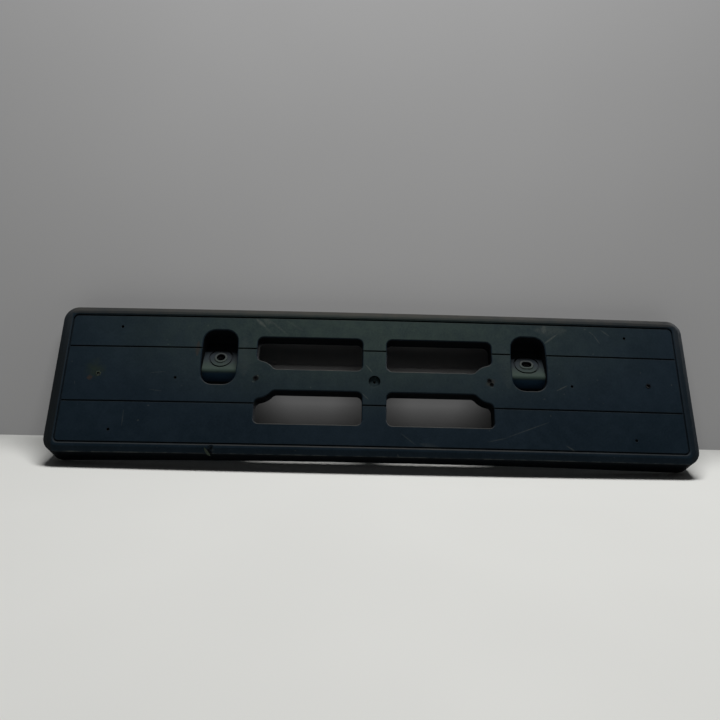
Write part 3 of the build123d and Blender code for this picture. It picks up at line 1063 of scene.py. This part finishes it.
def surroundings(stage, room):
    """A world that is plain to see and lights the studio softly from above."""
    world = bpy.data.worlds.new("surroundings")
    world.use_nodes = True
    world.node_tree.nodes.clear()
    start = Socket(world.node_tree)
    up = room.to_3x3() @ Vector((0, 0, 1))
    aloft = start.node("ShaderNodeTexCoord", output="Generated").dot(tuple(up)).ramp(*FILL_HEIGHT)
    dark = background(start, BLACK, 0.0)
    glow = background(start, FILL_COLOUR, stage.fill)
    light = start.node("ShaderNodeMixShader", inputs={0: aloft, 1: dark, 2: glow})
    view = background(start, stage.sky, 1.0)
    both = start.node("ShaderNodeMixShader", inputs={0: seen_rays(start), 1: light, 2: view})
    sink = world.node_tree.nodes.new("ShaderNodeOutputWorld")
    world.node_tree.links.new(both.output, sink.inputs["Surface"])
    return world


def stage_camera(stage):
    """The camera in front of the holder."""
    camera = bpy.data.cameras.new("camera")
    camera.lens = stage.lens
    camera.sensor_width = CAMERA_SENSOR
    camera.clip_start = CAMERA_CLIP
    obj = bpy.data.objects.new("camera", camera)
    obj.location = stage.eye
    obj.rotation_euler = stage.turn
    bpy.context.scene.collection.objects.link(obj)
    return obj


class PLATEHOLDER_OT_finish_moulding(bpy.types.Operator):
    """Shade the moulding smooth and give it its worn plastic"""

    bl_idname = "plateholder.finish_moulding"
    bl_label = "Finish moulding"

    def execute(self, context):
        look = context.scene.plateholder_look
        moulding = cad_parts[NODE]
        put_on(moulding, moulding_material(look))
        moulding.modifiers.new("smooth_form", "NODES").node_group = smooth_form(look.smooth_angle)
        return {"FINISHED"}


class PLATEHOLDER_OT_add_torn_lips(bpy.types.Operator):
    """Raise torn plastic round the holes drilled by hand"""

    bl_idname = "plateholder.add_torn_lips"
    bl_label = "Add torn lips"

    def execute(self, context):
        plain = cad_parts[NODE].data.materials[0]
        pale = torn_material(context.scene.plateholder_look)
        wear = context.scene.plateholder_wear
        for number, (x, z, height, seed) in enumerate(TORN_HOLES, 1):
            lip = torn_lip(f"torn_lip_{number}", x, z, height, seed, wear)
            put_on(lip, pale if height > PALE_LIP else plain)
            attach(lip, BODY)
        return {"FINISHED"}


class PLATEHOLDER_OT_add_nick_burr(bpy.types.Operator):
    """Push up a burr along the nick in the lower rim"""

    bl_idname = "plateholder.add_nick_burr"
    bl_label = "Add nick burr"

    def execute(self, context):
        burr = nick_burr(context.scene.plateholder_wear)
        put_on(burr, torn_material(context.scene.plateholder_look))
        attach(burr, BODY)
        return {"FINISHED"}


class PLATEHOLDER_OT_set_stage(bpy.types.Operator):
    """Set up the floor, wall, light and camera"""

    bl_idname = "plateholder.set_stage"
    bl_label = "Set stage"

    def execute(self, context):
        scene = context.scene
        stage = scene.plateholder_stage
        room = room_matrix(stage)
        floor, wall = lay_paper(stage, room)
        hang_lamps(stage, room, floor, wall)
        scene.world = surroundings(stage, room)
        scene.camera = stage_camera(stage)
        scene.view_settings.view_transform = "Standard"
        return {"FINISHED"}


class PLATEHOLDER_PT_panel(bpy.types.Panel):
    """Lists what the add-on makes, in order, and its sizes and colours"""

    bl_idname = "PLATEHOLDER_PT_panel"
    bl_label = "Plate holder"
    bl_space_type = "VIEW_3D"
    bl_region_type = "UI"
    bl_category = "Plate holder"

    def draw(self, context):
        for operator in OPERATORS:
            self.layout.operator(operator.bl_idname)
        for group_name, group in GROUPS.items():
            column = self.layout.column()
            for name in group.__annotations__:
                column.prop(getattr(context.scene, group_name), name)


OPERATORS = (
    PLATEHOLDER_OT_finish_moulding,
    PLATEHOLDER_OT_add_torn_lips,
    PLATEHOLDER_OT_add_nick_burr,
    PLATEHOLDER_OT_set_stage,
)
GROUPS = {"plateholder_look": MouldingLook, "plateholder_wear": WearSizes, "plateholder_stage": StageLayout}


def register():
    """Registers the classes and puts the property groups on the scene."""
    for name, group in GROUPS.items():
        bpy.utils.register_class(group)
        setattr(bpy.types.Scene, name, PointerProperty(type=group))
    for made in (*OPERATORS, PLATEHOLDER_PT_panel):
        bpy.utils.register_class(made)


def unregister():
    """Takes the classes and the property groups away again."""
    for made in (PLATEHOLDER_PT_panel, *reversed(OPERATORS)):
        bpy.utils.unregister_class(made)
    for name, group in GROUPS.items():
        delattr(bpy.types.Scene, name)
        bpy.utils.unregister_class(group)


def main():
    """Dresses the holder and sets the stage."""
    register()
    bpy.ops.plateholder.finish_moulding()
    bpy.ops.plateholder.add_torn_lips()
    bpy.ops.plateholder.add_nick_burr()
    bpy.ops.plateholder.set_stage()


if __name__ == "__main__":
    main()
